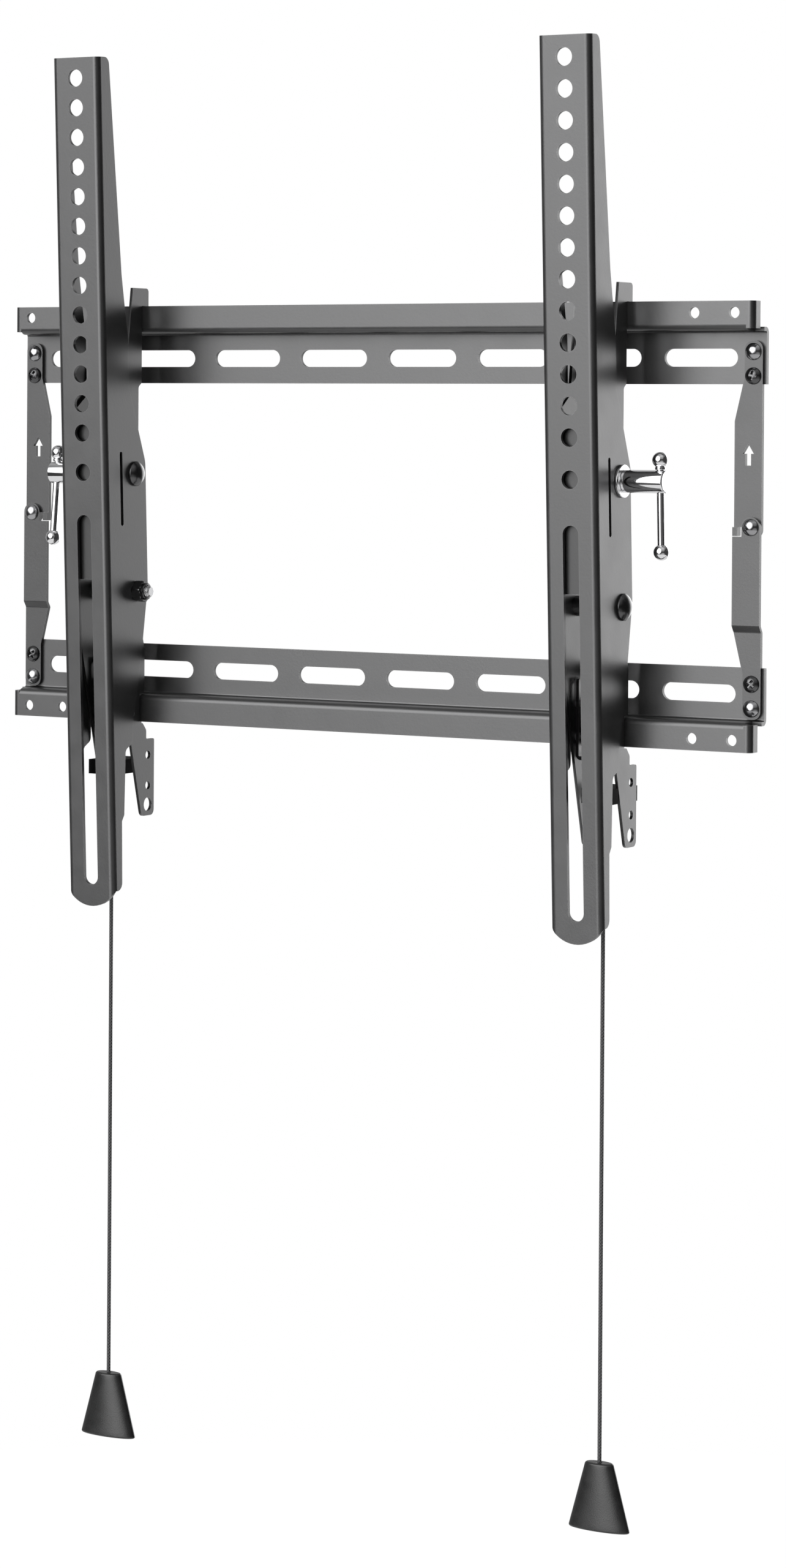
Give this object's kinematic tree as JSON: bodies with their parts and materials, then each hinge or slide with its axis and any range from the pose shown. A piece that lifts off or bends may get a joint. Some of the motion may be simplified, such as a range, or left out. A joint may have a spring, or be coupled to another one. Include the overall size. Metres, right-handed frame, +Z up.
{
  "type": "tilting tv wall bracket",
  "caption": "Tilting television wall bracket: slotted wall rails joined by folding links, and hook-on channel arms with a tilt pivot, T-handle clamps and pull-cord latches.",
  "frame": {"origin": "middle of the wall plate, in the plane of the wall, at the centre of the pattern of wall slots", "axes": "+X along the rails to the right as seen from the front, +Y into the wall, +Z up"},
  "size_m": [0.428, 0.0605, 0.7166],
  "materials": {
    "black_coat": "satin black powder coat on sheet steel",
    "black_fastener": "glossy black plated steel",
    "plain_steel": "zinc plated steel",
    "chrome": "polished",
    "black_plastic": "matt moulded",
    "black_cord": "braided"
  },
  "bodies": {
    "wall_plate": {"top_rail": "black_coat", "bottom_rail": "black_coat", "left_upper_link": "black_coat", "right_upper_link": "black_coat", "left_lower_link": "black_coat", "right_lower_link": "black_coat", "link_rivets": "black_fastener", "link_screws": "black_fastener"},
    "left_bracket": {"left_hook_bracket": "black_coat", "left_pivot_spacer": "plain_steel", "left_latch_pins": "plain_steel", "left_latch_guide": "black_plastic", "left_latch_spring": "plain_steel"},
    "left_arm": {"left_tv_arm": "black_coat", "left_pivot_bolt": "black_fastener", "left_pivot_nut": "black_fastener", "left_clamp_bolt": "black_fastener", "left_clamp_washer": "chrome"},
    "left_clamp": {"left_clamp_barrel": "chrome"},
    "left_bar": {"left_tommy_bar": "chrome", "left_end_ball": "chrome"},
    "left_latch": {"left_latch": "black_coat", "left_cord_ferrule": "plain_steel", "left_pull_cord": "black_cord", "left_cord_pull": "black_plastic"},
    "right_bracket": {"right_hook_bracket": "black_coat", "right_pivot_spacer": "plain_steel", "right_latch_pins": "plain_steel", "right_latch_guide": "black_plastic", "right_latch_spring": "plain_steel"},
    "right_arm": {"right_tv_arm": "black_coat", "right_pivot_bolt": "black_fastener", "right_pivot_nut": "black_fastener", "right_clamp_bolt": "black_fastener", "right_clamp_washer": "chrome"},
    "right_clamp": {"right_clamp_barrel": "chrome"},
    "right_bar": {"right_tommy_bar": "chrome", "right_end_ball": "chrome"},
    "right_latch": {"right_latch": "black_coat", "right_cord_ferrule": "plain_steel", "right_pull_cord": "black_cord", "right_cord_pull": "black_plastic"}
  },
  "joints": [
    {"name": "left_arm_slide", "type": "slide", "parent": "wall_plate", "child": "left_bracket", "axis": [1, 0, 0], "range_m": [-0.05, 0.11]},
    {"name": "left_arm_tilt", "type": "hinge", "parent": "left_bracket", "child": "left_arm", "pos_m": [-0.1447, -0.0217, -0.0395], "axis": [1, 0, 0], "range_deg": [-1.2, 5.4]},
    {"name": "left_clamp_turn", "type": "hinge", "parent": "left_arm", "child": "left_clamp", "pos_m": [-0.1447, -0.02394, 0.02086], "axis": [1, 0, 0], "range_deg": [-201.4, 38.6]},
    {"name": "left_bar_slide", "type": "slide", "parent": "left_clamp", "child": "left_bar", "axis": [0, 0.1045, 0.9945], "range_m": [0, 0.024]},
    {"name": "left_latch_slide", "type": "slide", "parent": "left_bracket", "child": "left_latch", "axis": [0, 0, -1], "range_m": [0, 0.008], "stiffness_N_per_m": 500, "springref_m": -0.01, "deforming": ["left_latch_spring"]},
    {"name": "right_arm_slide", "type": "slide", "parent": "wall_plate", "child": "right_bracket", "axis": [1, 0, 0], "range_m": [-0.11, 0.05]},
    {"name": "right_arm_tilt", "type": "hinge", "parent": "right_bracket", "child": "right_arm", "pos_m": [0.1344, -0.0217, -0.0395], "axis": [1, 0, 0], "range_deg": [-1.2, 5.4]},
    {"name": "right_clamp_turn", "type": "hinge", "parent": "right_arm", "child": "right_clamp", "pos_m": [0.1344, -0.02394, 0.02086], "axis": [1, 0, 0], "range_deg": [-210, 30]},
    {"name": "right_bar_slide", "type": "slide", "parent": "right_clamp", "child": "right_bar", "axis": [0, -0.0454, 0.999], "range_m": [0, 0.024]},
    {"name": "right_latch_slide", "type": "slide", "parent": "right_bracket", "child": "right_latch", "axis": [0, 0, -1], "range_m": [0, 0.008], "stiffness_N_per_m": 500, "springref_m": -0.01, "deforming": ["right_latch_spring"]}
  ]
}
